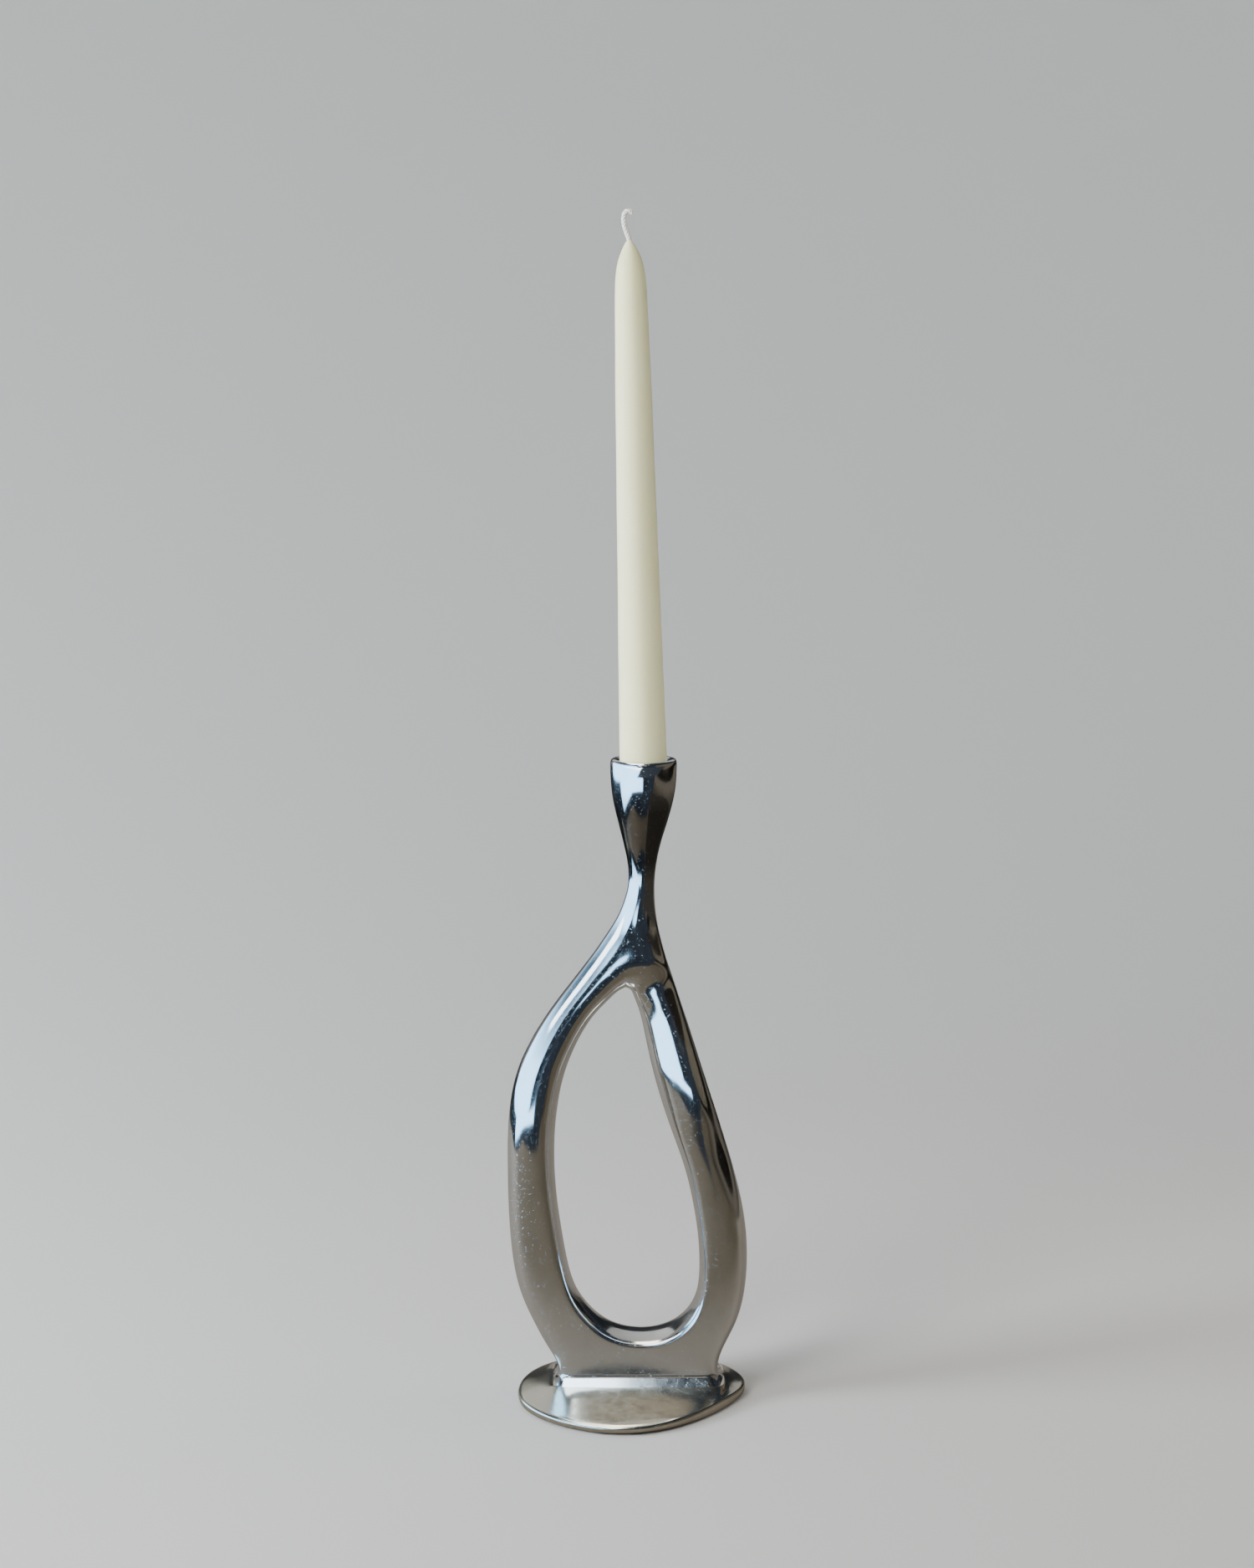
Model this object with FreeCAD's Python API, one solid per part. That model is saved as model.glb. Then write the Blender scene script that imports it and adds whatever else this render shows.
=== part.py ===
"""Loop candlestick in polished cast aluminium, with a taper candle standing in it.

An open, lopsided loop stands on a domed plate foot and runs up through a thin neck into a flared
candle cup. The loop, neck and cup are one casting. The foot is a second casting, pulled up against
the first by two M5 screws from below, and a felt sheet covers its underside and the screw heads.

Millimetres, +Z up, +X to the right seen from the front, which faces -Y. The origin is on the
standing plane (the underside of the felt), straight below the axis of the candle cup.
"""
import FreeCAD, Part
import os
from math import cos, pi, radians, sin, tan

from FreeCAD import Vector

# ---- driving dimensions -------------------------------------------------------------------------
RIM_Z = 310.0             # top of the candle cup above the standing plane
CUP_R = 15.5              # outside radius of the cup near its rim
NECK_R = 6.15             # radius of the neck at its thinnest

SOCKET_R = 11.4           # candle socket, for a standard 22 mm candle
SOCKET_DEPTH = 16.0
SOCKET_CHAMFER = 0.6      # lead-in at the mouth of the socket

FELT_T = 1.2              # felt under the foot
FELT_SHARE = 0.93         # the felt's outline as a share of the foot's
SEAT_Z = 9.6              # joint plane between the foot and the loop casting
SEAT_X = -2.2             # middle of the joint along X
WEB_HALF_X = 38.2         # half length and half thickness of the web above the joint
WEB_HALF_Y = 12.0

SCREW_PITCH = 40.0        # distance between the two fixing screws
SCREW_R = 2.5             # M5
SCREW_LENGTH = 20.0
SCREW_CLEARANCE_R = 2.75
TAP_EXTRA = 2.0           # tapped hole beyond the end of the screw
HEAD_R = 4.75
HEAD_H = 2.7
HEAD_CHAMFER = 0.4
TIP_CHAMFER = 0.5         # at the end of the screw's thread
HEX_KEY = 3.0             # across flats of the socket in the screw head
HEX_DEPTH = 1.6
COUNTERBORE_R = 5.5
COUNTERBORE_DEPTH = 4.9
WASHER_R = 4.4
WASHER_BORE_R = 2.65
WASHER_T = 1.2
WASHER_GAP = 1.0          # cut in the spring washer

CANDLE_LENGTH = 252.0     # wax only
CANDLE_R = 11.0           # radius where it stands in the socket
CANDLE_LEAN = 1.55        # degrees, towards -X
CANDLE_SHIFT = -0.15      # where its axis crosses the plane of the rim, along X
CANDLE_GAP = 0.35         # between the butt and the socket's floor
BUTT_CHAMFER = 0.6
WICK_R = 1.05

LOOP_EXPONENT = 2.35      # superellipse exponent of the loop's cross-section: 2 is an ellipse
ROUND_EXPONENT = 2.0
WEB_EXPONENT = 8.0        # nearly a rectangle
SECTION_POINTS = 24       # points round one cross-section of the loop and the stem
FOOT_POINTS = 48          # points round one level of the foot and the web
WRAP = 16                 # points repeated past each end of a closed direction, for smoothness
FLAT_TOLERANCE = 0.001    # how far an edge of a flat end may lie from its plane
CUT_PAST = 1.0            # how far a cutting shape runs past the face that it cuts
TRIM_SIDE = 160.0         # side of the square block that trims the casting at the joint

# The loop, one row per cross-section, anticlockwise from the top as seen from the front:
# outer edge x, z, inner edge x, z, half thickness, and how far behind the middle plane it lies.
# The right branch leaves the stem a little behind that plane and comes forward on its way down.
LOOP = [
    (-5.0, 226.0, -8.5, 201.0, 9.0, 0.6),
    (-19.0, 220.0, -13.5, 197.6, 9.3, 0.1),
    (-31.0, 207.3, -20.6, 190.4, 9.8, 0.0),
    (-42.0, 193.0, -27.6, 180.8, 10.6, 0.0),
    (-50.6, 178.2, -34.0, 168.8, 11.8, 0.0),
    (-57.6, 164.8, -38.2, 156.2, 13.0, 0.0),
    (-62.6, 147.5, -41.0, 142.0, 14.2, 0.0),
    (-64.5, 126.0, -42.4, 123.5, 14.5, 0.0),
    (-64.4, 105.0, -42.0, 105.0, 13.9, 0.0),
    (-63.8, 84.0, -39.3, 86.0, 13.5, 0.0),
    (-61.5, 63.6, -36.4, 67.0, 13.2, 0.0),
    (-57.0, 47.5, -32.2, 52.4, 13.0, 0.0),
    (-50.0, 32.0, -24.6, 41.6, 12.9, 0.0),
    (-34.0, 17.0, -13.5, 33.6, 12.7, 0.0),
    (-2.5, 12.0, -2.0, 30.8, 12.6, 0.0),
    (28.5, 17.0, 11.8, 33.6, 12.7, 0.0),
    (42.3, 32.0, 21.4, 41.0, 12.9, 0.0),
    (48.3, 47.5, 26.0, 52.0, 13.0, 0.0),
    (49.7, 65.0, 27.1, 66.5, 13.2, 0.0),
    (48.9, 84.0, 25.9, 82.5, 13.5, 0.0),
    (45.2, 104.5, 23.0, 99.5, 13.8, 0.0),
    (40.2, 122.5, 19.2, 116.0, 14.3, 0.0),
    (34.6, 140.0, 13.7, 132.0, 14.6, 0.0),
    (29.3, 157.5, 8.2, 148.0, 13.6, 0.2),
    (23.6, 175.5, 3.0, 166.0, 12.0, 1.4),
    (17.6, 193.0, -0.9, 183.0, 10.5, 3.1),
    (11.6, 209.5, -4.6, 195.2, 9.7, 3.4),
    (5.5, 220.5, -6.7, 199.8, 9.3, 2.2),
]

# The stem, from inside the top of the loop up to the rim: z, left edge, right edge, half thickness.
STEM = [
    (200.0, -18.0, 2.0, 4.0),
    (207.0, -21.5, 5.5, 6.4),
    (213.5, -23.2, 7.6, 8.1),
    (220.0, -21.7, 8.4, 8.7),
    (227.4, -16.9, 7.2, 8.5),
    (235.4, -12.0, 6.0, 7.8),
    (243.4, -8.8, 5.3, 6.8),
    (250.5, -7.2, 5.1, NECK_R),
    (257.0, -7.0, 5.6, 6.3),
    (263.4, -7.9, 6.6, 7.2),
    (271.3, -9.7, 8.4, 9.05),
    (279.3, -11.6, 10.8, 11.2),
    (286.4, -13.4, 12.9, 13.15),
    (291.5, -14.4, 14.2, 14.3),
    (297.1, -15.1, 15.0, 15.05),
    (303.0, -15.45, 15.4, 15.4),
    (307.0, -CUP_R, CUP_R, CUP_R),
    (309.0, -15.3, 15.3, 15.3),
    (RIM_Z, -14.6, 14.6, 14.6),
]

# The web that carries the bottom of the loop, flared where it lands on the foot: z, and how much
# longer and thicker it is there than the web's half length and half thickness.
WEB = [
    (SEAT_Z, 2.8, 4.9), (10.6, 1.6, 3.9), (11.6, 0.9, 2.9), (12.6, 0.5, 1.9), (13.6, 0.35, 1.0),
    (14.8, 0.35, 0.4), (16.2, 0.55, 0.0), (17.8, 0.95, -0.4), (19.6, 1.4, -0.8), (21.6, 1.8, -1.2),
]

# Plan of the foot, anticlockwise seen from above, starting at the right: a rounded triangle whose
# point is at the front.
FOOT_PLAN = [
    (49.4, 4.0), (45.6, 17.5), (36.0, 28.8), (19.5, 35.8), (-2.0, 38.4), (-24.0, 37.4),
    (-42.0, 31.0), (-54.5, 17.5), (-60.0, -3.0), (-57.0, -22.5), (-46.5, -37.8), (-30.0, -49.2),
    (-9.0, -53.8), (9.5, -48.8), (25.2, -37.0), (39.5, -20.0),
]
# Section of the foot, from the underside to the joint: height, and how far out it lies between
# the joint's outline (0) and the plan above (1).
FOOT_PROFILE = [
    (FELT_T, 0.95), (2.0, 0.985), (3.1, 1.0), (4.2, 0.99), (4.95, 0.945), (5.4, 0.85), (5.9, 0.71),
    (6.5, 0.54), (7.2, 0.375), (8.0, 0.225), (8.8, 0.10), (SEAT_Z, 0.0),
]

# Taper candle above the rim: share of the wax length above the butt, radius.
WAX_PROFILE = [
    (0.215, 10.4), (0.37, 9.8), (0.52, 9.15), (0.68, 8.5), (0.83, 7.8), (0.905, 7.35),
    (0.944, 6.6), (0.972, 5.0), (0.990, 3.0), (1.0, 1.6),
]
# The wick's free end, from the top of the wax: offset along X and height.
WICK_TIP = [
    (0.0, -2.0), (0.0, 0.0), (-0.7, 2.6), (-1.7, 5.6), (-2.3, 8.8), (-2.1, 11.6), (-0.9, 13.3),
    (0.6, 13.2), (1.2, 12.0),
]
WICK_POINTS = 12          # points round the wick
WICK_ROWS = 24            # sections along its free end


# ---- closed sections and the skins over them ----------------------------------------------------
def superellipse(centre, across, half_width, half_thickness, exponent, count=SECTION_POINTS):
    """Points round a section that is half_width along the unit vector across, and along Y."""
    points = []
    for k in range(count):
        angle = 2 * pi * k / count
        c = abs(cos(angle)) / half_width
        s = abs(sin(angle)) / half_thickness
        radius = (c ** exponent + s ** exponent) ** (-1 / exponent)
        points.append(centre + across * (radius * cos(angle)) + Vector(0, radius * sin(angle), 0))
    return points


def skin(rows, closed_path):
    """A smooth surface over rows of points round closed sections, as a list of faces."""
    count = len(rows[0])
    around = range(-WRAP, count + WRAP + 1)
    along = range(-WRAP, len(rows) + WRAP + 1) if closed_path else range(len(rows))
    grid = [[rows[i % len(rows)][j % count] for j in around] for i in along]
    surface = Part.BSplineSurface()
    surface.interpolate(grid)
    u_knots = surface.getUKnots()
    v_knots = surface.getVKnots()
    if closed_path:
        u_cuts = [u_knots[WRAP], u_knots[WRAP + len(rows) // 2], u_knots[WRAP + len(rows)]]
    else:
        u_cuts = [u_knots[0], u_knots[-1]]
    v_cuts = [v_knots[WRAP], v_knots[WRAP + count // 2], v_knots[WRAP + count]]
    faces = []
    for u_low, u_high in zip(u_cuts, u_cuts[1:]):
        for v_low, v_high in zip(v_cuts, v_cuts[1:]):
            patch = surface.copy()
            patch.segment(u_low, u_high, v_low, v_high)
            faces.append(patch.toShape())
    return faces


def solid_of(faces):
    """One solid from faces that meet edge to edge."""
    shape = Part.Compound(faces)
    shape.sewShape()
    return Part.makeSolid(shape.Shells[0] if shape.ShapeType != "Shell" else shape)


def end_cap(faces, row):
    """The flat face that closes a skin at one of its end rows."""
    third = len(row) // 3
    normal = (row[third] - row[0]).cross(row[2 * third] - row[0])
    normal.normalize()
    edges = []
    for face in faces:
        for edge in face.Edges:
            middle = edge.valueAt(sum(edge.ParameterRange) / 2)
            places = [vertex.Point for vertex in edge.Vertexes] + [middle]
            if all(abs((place - row[0]).dot(normal)) < FLAT_TOLERANCE for place in places):
                edges.append(edge)
    return Part.Face(Part.Wire(Part.__sortEdges__(edges)))


def tube(rows):
    """A solid through closed sections, closed flat at its first row and at its last."""
    faces = skin(rows, closed_path=False)
    return solid_of(faces + [end_cap(faces, rows[0]), end_cap(faces, rows[-1])])


def cylinder(x, z_low, z_high, radius):
    """An upright cylinder over a place on the X axis."""
    return Part.makeCylinder(radius, z_high - z_low, Vector(x, 0, z_low), Vector(0, 0, 1))


def level_edges(shape, z):
    """The edges of a shape that lie wholly at one height."""
    return [
        edge for edge in shape.Edges
        if abs(edge.BoundBox.ZMin - z) < FLAT_TOLERANCE and abs(edge.BoundBox.ZMax - z) < FLAT_TOLERANCE
    ]


def screw_places():
    """Where each fixing screw stands along X."""
    return {"left": SEAT_X - SCREW_PITCH / 2, "right": SEAT_X + SCREW_PITCH / 2}


# ---- loop casting -------------------------------------------------------------------------------
def loop():
    """The closed loop, through all its cross-sections."""
    rows = []
    for outer_x, outer_z, inner_x, inner_z, half_thickness, behind in LOOP:
        outer = Vector(outer_x, behind, outer_z)
        inner = Vector(inner_x, behind, inner_z)
        across = outer - inner
        half_width = across.Length / 2
        across.normalize()
        middle = (outer + inner) / 2
        rows.append(superellipse(middle, across, half_width, half_thickness, LOOP_EXPONENT))
    return solid_of(skin(rows, closed_path=True))


def stem():
    """The neck and the outside of the candle cup."""
    rows = []
    for z, left, right, half_thickness in STEM:
        middle = Vector((left + right) / 2, 0, z)
        rows.append(
            superellipse(middle, Vector(1, 0, 0), (right - left) / 2, half_thickness, ROUND_EXPONENT)
        )
    return tube(rows)


def web_outline(z, grow_x, grow_y):
    """Points round one level of the web, evenly spread round its long rectangle."""
    power = WEB_EXPONENT
    points = []
    for k in range(FOOT_POINTS):
        angle = 2 * pi * k / FOOT_POINTS
        reach = (abs(cos(angle)) ** power + abs(sin(angle)) ** power) ** (-1 / power)
        x = SEAT_X + (WEB_HALF_X + grow_x) * reach * cos(angle)
        points.append(Vector(x, (WEB_HALF_Y + grow_y) * reach * sin(angle), z))
    return points


def web():
    """The block that carries the bottom of the loop down to the joint."""
    return tube([web_outline(*row) for row in WEB])


def socket():
    """The flat-bottomed candle socket with its lead-in."""
    bore = cylinder(0, RIM_Z - SOCKET_DEPTH, RIM_Z + CUT_PAST, SOCKET_R)
    reach = SOCKET_CHAMFER + CUT_PAST
    mouth = Part.makeCone(SOCKET_R, SOCKET_R + reach, reach, Vector(0, 0, RIM_Z - SOCKET_CHAMFER))
    return bore.fuse(mouth)


def loop_casting():
    """Loop, stem and cup in one, flat at the joint, with the socket and the two tapped holes."""
    casting = loop().fuse([stem(), web()]).cut(socket())
    corner = Vector(-TRIM_SIDE / 2, -TRIM_SIDE / 2, SEAT_Z - TRIM_SIDE)
    casting = casting.cut(Part.makeBox(TRIM_SIDE, TRIM_SIDE, TRIM_SIDE, corner))
    hole_top = head_seat_z() + SCREW_LENGTH + TAP_EXTRA
    for x in screw_places().values():
        casting = casting.cut(cylinder(x, SEAT_Z - CUT_PAST, hole_top, SCREW_R))
    return casting


# ---- foot casting and felt ----------------------------------------------------------------------
def foot_plan():
    """Points round the plan of the foot, in step with web_outline."""
    curve = Part.BSplineCurve()
    curve.interpolate(Points=[Vector(x, y, 0) for x, y in FOOT_PLAN], PeriodicFlag=True)
    centre = Vector(SEAT_X, 0, 0)
    length_y = max(y for _, y in FOOT_PLAN) - min(y for _, y in FOOT_PLAN)
    length_x = max(x for x, _ in FOOT_PLAN) - min(x for x, _ in FOOT_PLAN)
    edge = curve.toShape()
    points = []
    for k in range(FOOT_POINTS):
        angle = 2 * pi * k / FOOT_POINTS
        ray_end = centre + Vector(length_x * cos(angle), length_y * sin(angle), 0)
        points.append(edge.distToShape(Part.makeLine(centre, ray_end))[1][0][0])
    return points


def foot_body():
    """The domed plate, from the felt up to the joint."""
    plan = foot_plan()
    joint = web_outline(*WEB[0])
    rows = []
    for z, share in FOOT_PROFILE:
        row = [p + (q - p) * share for p, q in zip(joint, plan)]
        rows.append([Vector(p.x, p.y, z) for p in row])
    return tube(rows)


def foot_casting():
    """The domed plate with a counterbored hole for each fixing screw."""
    foot = foot_body()
    for x in screw_places().values():
        foot = foot.cut(cylinder(x, FELT_T - CUT_PAST, FELT_T + COUNTERBORE_DEPTH, COUNTERBORE_R))
        foot = foot.cut(cylinder(x, FELT_T, SEAT_Z + CUT_PAST, SCREW_CLEARANCE_R))
    return foot


def felt():
    """The felt sheet, cut to the foot's plan a little smaller all round."""
    centre = Vector(SEAT_X, 0, 0)
    points = [centre + (p - centre) * FELT_SHARE for p in foot_plan()]
    curve = Part.BSplineCurve()
    curve.interpolate(Points=points, PeriodicFlag=True)
    return Part.Face(Part.Wire(curve.toShape())).extrude(Vector(0, 0, FELT_T))


# ---- fixings ------------------------------------------------------------------------------------
def head_seat_z():
    """Underside of the washer, where the head of a screw bears."""
    return FELT_T + COUNTERBORE_DEPTH - WASHER_T


def fixing_screw(x):
    """An M5 low-head screw, head down, its tip up in the loop casting."""
    seat_z = head_seat_z()
    head = cylinder(x, seat_z - HEAD_H, seat_z, HEAD_R)
    head = head.makeChamfer(HEAD_CHAMFER, level_edges(head, seat_z - HEAD_H))
    corner_reach = HEX_KEY / 2 / cos(pi / 6)
    corners = []
    for k in range(7):
        angle = k * pi / 3
        place = Vector(x + corner_reach * cos(angle), corner_reach * sin(angle), seat_z - HEAD_H)
        corners.append(place - Vector(0, 0, CUT_PAST))
    key = Part.Face(Part.makePolygon(corners)).extrude(Vector(0, 0, HEX_DEPTH + CUT_PAST))
    shank = cylinder(x, seat_z, seat_z + SCREW_LENGTH, SCREW_R)
    shank = shank.makeChamfer(TIP_CHAMFER, level_edges(shank, seat_z + SCREW_LENGTH))
    return head.cut(key).fuse(shank)


def spring_washer(x):
    """A split washer, pressed flat between the screw's head and the foot casting."""
    low = head_seat_z()
    high = low + WASHER_T
    ring = cylinder(x, low, high, WASHER_R).cut(cylinder(x, low, high, WASHER_BORE_R))
    corner = Vector(x, -WASHER_GAP / 2, low)
    return ring.cut(Part.makeBox(WASHER_R + CUT_PAST, WASHER_GAP, WASHER_T, corner))


# ---- candle -------------------------------------------------------------------------------------
def lean(shape):
    """Stand a piece made upright, with its foot at the origin, in the socket."""
    butt_z = RIM_Z - SOCKET_DEPTH + CANDLE_GAP
    shape.rotate(Vector(0, 0, 0), Vector(0, 1, 0), -CANDLE_LEAN)
    foot_x = CANDLE_SHIFT + (RIM_Z - butt_z) * tan(radians(CANDLE_LEAN))
    shape.translate(Vector(foot_x, 0, butt_z))
    return shape


def wax():
    """The candle's wax, turned round its axis, with the hole that the wick runs in."""
    side = Part.BSplineCurve()
    taper = [Vector(r, 0, share * CANDLE_LENGTH) for share, r in WAX_PROFILE]
    straight_top = Vector(CANDLE_R, 0, SOCKET_DEPTH)
    side.interpolate(Points=[straight_top] + taper, InitialTangent=Vector(0, 0, 1),
                     FinalTangent=Vector(-1, 0, 0.5))
    outline = [
        Vector(WICK_R, 0, CANDLE_LENGTH), Vector(WICK_R, 0, 0), Vector(CANDLE_R - BUTT_CHAMFER, 0, 0),
        Vector(CANDLE_R, 0, BUTT_CHAMFER), straight_top,
    ]
    edges = [Part.makeLine(a, b) for a, b in zip(outline, outline[1:])]
    edges.append(side.toShape())
    edges.append(Part.makeLine(taper[-1], outline[0]))
    face = Part.Face(Part.Wire(edges))
    return lean(face.revolve(Vector(0, 0, 0), Vector(0, 0, 1), 360))


def wick():
    """The wick: straight inside the wax, and curved to one side above it."""
    path = [Vector(x, 0, CANDLE_LENGTH + z) for x, z in WICK_TIP]
    curve = Part.BSplineCurve()
    curve.interpolate(Points=path, InitialTangent=Vector(0, 0, 1))
    rows = []
    for k in range(WICK_ROWS):
        place = curve.FirstParameter + (curve.LastParameter - curve.FirstParameter) * k / (WICK_ROWS - 1)
        across = Vector(0, 1, 0).cross(curve.tangent(place)[0])
        across.normalize()
        centre = curve.value(place)
        rows.append(superellipse(centre, across, WICK_R, WICK_R, ROUND_EXPONENT, WICK_POINTS))
    straight = cylinder(0, 0, path[0].z, WICK_R)
    return lean(straight.fuse(tube(rows)))


# ---- the whole assembly -------------------------------------------------------------------------
def nodes():
    """Every piece of the candlestick by its name."""
    parts = {
        "loop_casting": loop_casting(),
        "foot_casting": foot_casting(),
        "felt_pad": felt(),
        "candle_wax": wax(),
        "candle_wick": wick(),
    }
    for side, x in screw_places().items():
        parts["fixing_screw_" + side] = fixing_screw(x)
        parts["spring_washer_" + side] = spring_washer(x)
    return parts


os.makedirs("parts", exist_ok=True)
for name, shape in nodes().items():
    shape.exportStep("parts/" + name + ".step")
    print(name, shape.isValid(), round(shape.Volume / 1000, 2), "cm3", len(shape.Solids), "solid")
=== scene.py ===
from math import cos, pi, radians, sin, tau

import bmesh
import bpy
import numpy as np
from mathutils import Matrix, Vector


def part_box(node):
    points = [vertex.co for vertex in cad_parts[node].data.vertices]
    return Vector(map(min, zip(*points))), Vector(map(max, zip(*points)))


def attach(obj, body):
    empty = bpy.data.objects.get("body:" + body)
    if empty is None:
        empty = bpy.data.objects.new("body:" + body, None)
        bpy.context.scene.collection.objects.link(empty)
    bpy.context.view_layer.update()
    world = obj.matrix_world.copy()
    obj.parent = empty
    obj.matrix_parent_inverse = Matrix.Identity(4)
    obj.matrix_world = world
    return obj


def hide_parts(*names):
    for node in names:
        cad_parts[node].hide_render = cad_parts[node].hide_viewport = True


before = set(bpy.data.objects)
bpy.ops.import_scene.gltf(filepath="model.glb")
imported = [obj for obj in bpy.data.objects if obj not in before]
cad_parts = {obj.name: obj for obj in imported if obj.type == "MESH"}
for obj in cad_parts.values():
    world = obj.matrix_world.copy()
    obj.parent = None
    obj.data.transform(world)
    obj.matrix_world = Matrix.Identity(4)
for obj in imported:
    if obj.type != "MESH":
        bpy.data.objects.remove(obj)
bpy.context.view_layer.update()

MM = 0.001

# ---- sizes, in millimetres, in the CAD's frame ---------------------------------------------------
SEAT_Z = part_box("foot_casting")[1].z / MM          # where the loop casting lands on the foot
RIM_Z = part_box("loop_casting")[1].z / MM
FELT_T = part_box("felt_pad")[1].z / MM
SOCKET_R = 11.4
SOCKET_DEPTH = 16.0

# Outline of the loop casting seen from the front: x, z, from the joint up to the rim.
LEFT = [
    (-43.2, 9.6), (-41.7, 10.9), (-40.9, 12.6), (-40.8, 15.0), (-42.6, 19.6), (-46.4, 25.8),
    (-52.8, 37.9), (-58.3, 50.8), (-61.7, 64.4), (-63.5, 80.0), (-64.4, 98.0), (-64.6, 117.0),
    (-64.1, 136.0), (-62.4, 149.5), (-59.0, 162.4), (-53.9, 173.8), (-47.6, 184.8),
    (-40.5, 195.1), (-34.2, 203.4), (-28.2, 211.3), (-22.3, 219.3), (-16.9, 227.3),
    (-12.1, 235.3), (-8.9, 243.4), (-7.2, 250.6), (-7.05, 257.0), (-7.95, 263.6), (-9.7, 271.3),
    (-11.6, 279.1), (-13.4, 286.4), (-14.5, 292.0), (-15.15, 297.5), (-15.45, 303.0),
    (-15.5, 307.6),
]
RIGHT = [
    (38.8, 9.6), (37.3, 10.9), (36.4, 12.6), (36.1, 15.0), (37.0, 20.0), (40.0, 27.2),
    (44.4, 36.4), (47.6, 46.6), (49.3, 58.0), (49.8, 70.0), (49.0, 84.0), (46.6, 98.5),
    (43.0, 113.0), (38.9, 127.0), (34.8, 140.5), (30.5, 154.0), (26.0, 168.0), (21.6, 181.6),
    (17.3, 194.6), (13.4, 206.6), (10.2, 217.0), (7.5, 227.4), (6.0, 235.4), (5.25, 243.4),
    (5.15, 250.6), (5.6, 257.0), (6.6, 263.6), (8.4, 271.3), (10.8, 279.1), (12.9, 286.4),
    (14.2, 292.0), (15.05, 297.5), (15.4, 303.0), (15.5, 307.6),
]
# The opening inside the loop: x, z, from its top down the left side, round and up the right side.
APEX = (-8.5, 200.9)
OPENING = [
    APEX, (-11.4, 199.5), (-16.2, 195.3), (-22.6, 188.6), (-28.7, 179.6), (-33.7, 169.4),
    (-37.8, 157.8), (-40.4, 145.4), (-42.0, 131.0), (-42.3, 115.0), (-41.2, 98.0), (-38.9, 81.0),
    (-35.9, 64.8), (-31.6, 51.6), (-25.2, 42.2), (-16.0, 34.6), (-2.0, 31.0), (11.8, 33.6),
    (20.6, 40.4), (25.6, 51.0), (27.0, 65.0), (26.1, 81.0), (23.6, 97.0), (20.4, 111.0),
    (16.0, 124.6), (11.0, 138.4), (6.6, 152.6), (3.2, 166.0), (0.4, 179.0), (-2.2, 189.6),
    (-4.6, 196.4), (-6.4, 199.8), APEX,
]
# Half thickness of the loop casting by height.
THICKNESS = [
    (9.6, 13.0), (20.0, 12.8), (40.0, 13.0), (60.0, 13.5), (80.0, 14.0), (100.0, 14.7),
    (110.0, 15.2), (118.0, 15.65), (125.0, 16.05), (131.0, 16.3), (137.0, 16.35), (143.0, 16.1),
    (149.0, 15.6), (157.0, 14.8), (170.0, 13.6), (185.0, 12.1), (200.0, 10.8), (214.0, 9.6),
    (228.0, 8.6), (240.0, 7.5), (250.0, 6.6),
]
# The right branch has its thickest place this much higher up, between these heights and places.
RIGHT_LIFT = 8.0
RIGHT_LIFT_Z = (60.0, 110.0, 175.0, 215.0)
RIGHT_LIFT_X = (-17.0, 5.0)
TURNED_Z = (130.0, 160.0)   # above here the right branch's front is turned a little to the opening
# Near the joint the casting flares out over the foot, from a crisp line at this height downwards.
FLARE_TOP = 13.3
FLARE_SOFT = 0.35
# The right branch leaves the stem from a little behind its middle plane and comes forward below.
SET_BACK = 4.0
SET_BACK_Z = (150.0, 197.0, 199.0, 218.0)   # starts, is full, is still full, has ended
SET_BACK_X = (-17.0, 5.0)
# It is also twisted a little, its front turned to the opening: slope, and between which heights.
TWIST = 0.20
TWIST_Z = (118.0, 150.0, 180.0, 212.0)
HALF_BRANCH = 11.0          # half the right branch's width, about
# How far in from the opening's edge and from the outer edge the casting reaches most of its
# thickness, by height: a small number is a crisp edge.
INNER_ROUND = [(30.0, 1.2), (45.0, 1.4), (80.0, 2.0), (120.0, 3.2), (150.0, 4.6), (320.0, 5.0)]
OUTER_ROUND = [
    (9.6, 0.9), (14.0, 1.3), (20.0, 2.2), (30.0, 3.0), (60.0, 3.6), (150.0, 5.0), (320.0, 5.0),
]
# Where the right branch is turned, its outer edge is crisper and its inner edge rounder by these.
TURNED_OUTER, TURNED_INNER = 0.35, 0.3
# The opening's edge is sharper below the first height than above the second: the power that makes
# it so, and what that loses on the way up.
CRISP_Z = (40.0, 90.0)
CRISP, CRISP_LOSS = 1.6, 0.6


# ---- curves --------------------------------------------------------------------------------------
def spline(stations, values, wanted):
    """Natural cubic spline through values at the stations, evaluated at the wanted places."""
    t = np.asarray(stations, float)
    y = np.asarray(values, float).reshape(len(t), -1)
    n = len(t)
    step = np.diff(t)
    matrix = np.eye(n)
    right = np.zeros_like(y)
    for i in range(1, n - 1):
        matrix[i, i - 1] = step[i - 1]
        matrix[i, i] = 2 * (step[i - 1] + step[i])
        matrix[i, i + 1] = step[i]
        right[i] = 6 * ((y[i + 1] - y[i]) / step[i] - (y[i] - y[i - 1]) / step[i - 1])
    bend = np.linalg.solve(matrix, right)
    w = np.clip(np.asarray(wanted, float), t[0], t[-1])
    k = np.clip(np.searchsorted(t, w) - 1, 0, n - 2)
    h = step[k][:, None]
    a = ((t[k + 1] - w)[:, None]) / h
    b = 1 - a
    curve = a * y[k] + b * y[k + 1]
    return curve + ((a ** 3 - a) * bend[k] + (b ** 3 - b) * bend[k + 1]) * h * h / 6


FINE_COUNT = 4000         # points along a curve where its length is measured


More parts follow.
